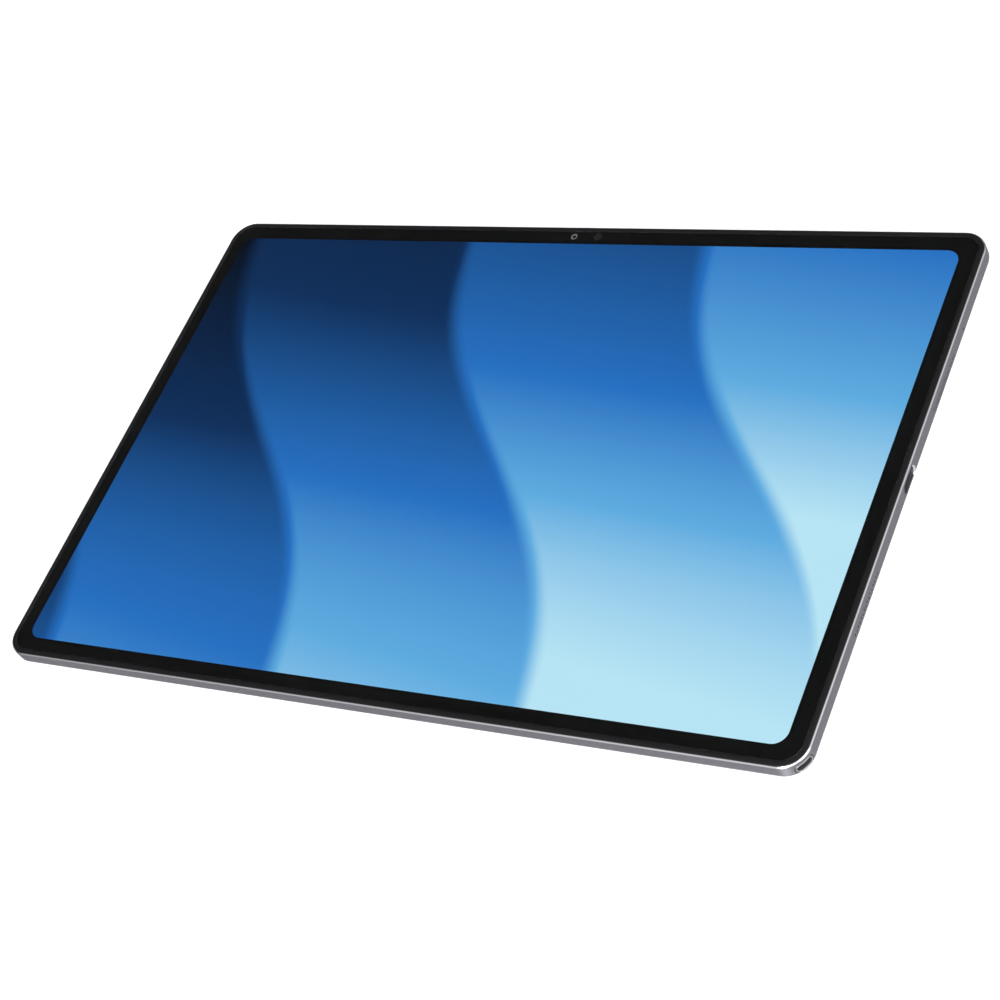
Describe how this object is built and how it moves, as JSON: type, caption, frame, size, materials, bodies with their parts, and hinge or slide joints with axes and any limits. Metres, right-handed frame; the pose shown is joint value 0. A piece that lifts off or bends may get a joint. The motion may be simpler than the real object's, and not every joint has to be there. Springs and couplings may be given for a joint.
{
  "type": "tablet computer",
  "caption": "Slim rectangular tablet computer with a glass-fronted display, metal housing, corner power key, volume key, card tray and charging socket.",
  "frame": {"origin": "middle of the flat back face, where the tablet lies on a surface", "axes": "+X towards the short side with the charging socket, +Y towards the long side with the front camera, +Z out of the screen"},
  "size_m": [0.317, 0.2043, 0.0065],
  "materials": {
    "housing_metal": "satin bead-blasted anodised",
    "polished_metal": "polished",
    "frame_plastic": "fine matte",
    "cover_glass": "polished, black border",
    "display": "lit panel",
    "clear_film": "clear",
    "white_film": "matte",
    "sheet_steel": "brushed",
    "circuit_board": "solder mask",
    "flat_cable": "amber film",
    "battery_foil": "foil pouch",
    "black_plastic": "moulded",
    "black_glass": "glossy",
    "graphite": "graphite sheet",
    "brass_film": "printed metal",
    "flash_lens": "ribbed lens",
    "steel_screw": "zinc plated",
    "speaker_cloth": "woven mesh"
  },
  "bodies": {
    "tablet_body": {"housing": "housing_metal", "bezel_frame": "frame_plastic", "cover_glass": "cover_glass", "optical_adhesive": "clear_film", "lcd_cell": "display", "optical_films": "white_film", "light_guide_plate": "clear_film", "led_strip": "flash_lens", "reflector_sheet": "white_film", "backlight_tray": "sheet_steel", "display_driver_board": "circuit_board", "display_cable": "flat_cable", "battery_cell_left": "battery_foil", "battery_cell_right": "battery_foil", "battery_tape_left": "white_film", "battery_tape_right": "white_film", "battery_protection_board": "circuit_board", "battery_cable": "flat_cable", "main_board": "circuit_board", "processor_shield": "sheet_steel", "radio_shield": "sheet_steel", "power_shield": "sheet_steel", "memory_shield": "sheet_steel", "heat_spreader": "graphite", "antenna_left": "brass_film", "antenna_right": "brass_film", "usb_board": "circuit_board", "usb_c_shell": "sheet_steel", "usb_c_tongue": "black_plastic", "usb_cable": "flat_cable", "microphone": "sheet_steel", "front_camera": "black_glass", "light_sensor": "black_glass", "rear_camera_ring": "polished_metal", "rear_camera_window": "black_glass", "rear_camera": "black_plastic", "rear_flash": "flash_lens", "power_key_switch": "sheet_steel", "power_key_bracket": "sheet_steel", "volume_key_switch": "sheet_steel", "volume_key_bracket": "sheet_steel", "card_socket": "sheet_steel", "speaker_right_far": "black_plastic", "speaker_mesh_right_far": "speaker_cloth", "speaker_right_near": "black_plastic", "speaker_mesh_right_near": "speaker_cloth", "speaker_left_far": "black_plastic", "speaker_mesh_left_far": "speaker_cloth", "speaker_left_near": "black_plastic", "speaker_mesh_left_near": "speaker_cloth", "main_board_screw_1": "steel_screw", "main_board_screw_2": "steel_screw", "main_board_screw_3": "steel_screw", "main_board_screw_4": "steel_screw", "usb_board_screw_1": "steel_screw", "usb_board_screw_2": "steel_screw"},
    "power_key": {"power_key": "polished_metal", "power_key_window": "black_glass"},
    "volume_key": {"volume_key": "housing_metal"},
    "card_tray": {"card_tray": "housing_metal"}
  },
  "joints": [
    {"name": "power_key_press", "type": "slide", "parent": "tablet_body", "child": "power_key", "axis": [-0.8434, 0.5373, 0], "range_m": [0, 0.0003], "stiffness_N_per_m": 2000},
    {"name": "volume_key_tilt", "type": "hinge", "parent": "tablet_body", "child": "volume_key", "pos_m": [-0.105, 0.1002, 0.00285], "axis": [0, 0, 1], "range_deg": [-1.2, 1.2], "stiffness_Nm_per_rad": 0.5},
    {"name": "card_tray_slide", "type": "slide", "parent": "tablet_body", "child": "card_tray", "axis": [-1, 0, 0], "range_m": [0, 0.016]}
  ]
}
